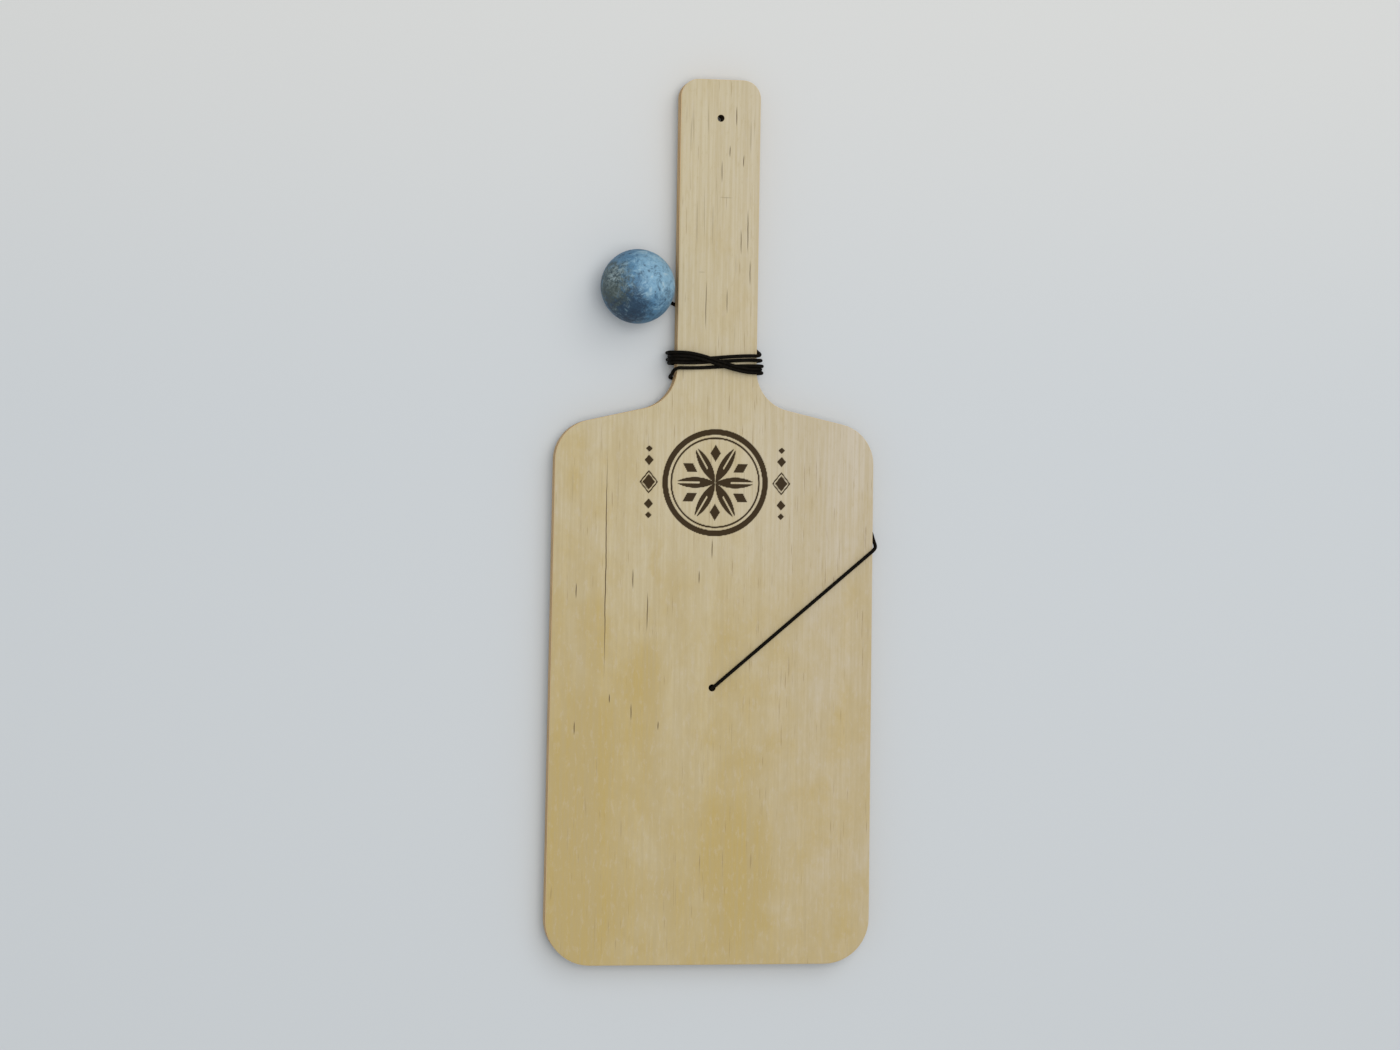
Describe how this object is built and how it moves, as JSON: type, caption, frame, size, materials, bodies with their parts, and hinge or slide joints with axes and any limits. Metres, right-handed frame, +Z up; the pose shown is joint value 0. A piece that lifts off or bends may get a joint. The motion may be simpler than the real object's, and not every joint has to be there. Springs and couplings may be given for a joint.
{
  "type": "paddle ball game",
  "caption": "Flat plywood bat with a long handle and a rubber ball on an elastic cord, with the cord wound round the neck of the bat.",
  "frame": {"origin": "on the ground under the middle of the bat, halfway along its length", "axes": "+Y runs along the bat towards the top of the handle, +Z is up out of the bat's front face, +X is to the right as the front face is seen with the handle at the top"},
  "size_m": [0.1458, 0.39, 0.0325],
  "materials": {
    "face_veneer": "bare sanded softwood veneer, grain along the bat",
    "cross_veneer": "darker cross veneer that shows its end grain at the long edges",
    "core_veneer": "light core veneer, seen only at the edges",
    "elastic": "black braided sleeve over rubber strands",
    "ball_rubber": "scuffed blue rubber, matt, mottled with navy and grey-green"
  },
  "bodies": {
    "bat": {"front_face_ply": "face_veneer", "front_cross_ply": "cross_veneer", "core_ply": "core_veneer", "back_cross_ply": "cross_veneer", "back_face_ply": "face_veneer", "blade_knot": "elastic", "front_cord": "elastic", "back_cord": "elastic", "neck_winding": "elastic", "handle_lead": "elastic"},
    "tether": {"ball_lead": "elastic"},
    "tether_end": {"ball_knot": "elastic"},
    "ball": {"ball": "ball_rubber"}
  },
  "joints": [
    {"name": "ball_swing", "type": "hinge", "parent": "bat", "child": "tether", "pos_m": [-0.01956, 0.097, 0.0015], "axis": [0, 0, 1], "range_deg": [-12, 50]},
    {"name": "elastic_pull", "type": "slide", "parent": "tether", "child": "tether_end", "axis": [-0.7293, 0.2541, 0.6352], "range_m": [0, 0.05], "stiffness_N_per_m": 150, "springref_m": -0.006, "deforming": ["ball_lead"]},
    {"name": "ball_spin", "type": "hinge", "parent": "tether_end", "child": "ball", "pos_m": [-0.0365, 0.1029, 0.01625], "axis": [-0.7293, 0.2541, 0.6352], "continuous": true}
  ]
}
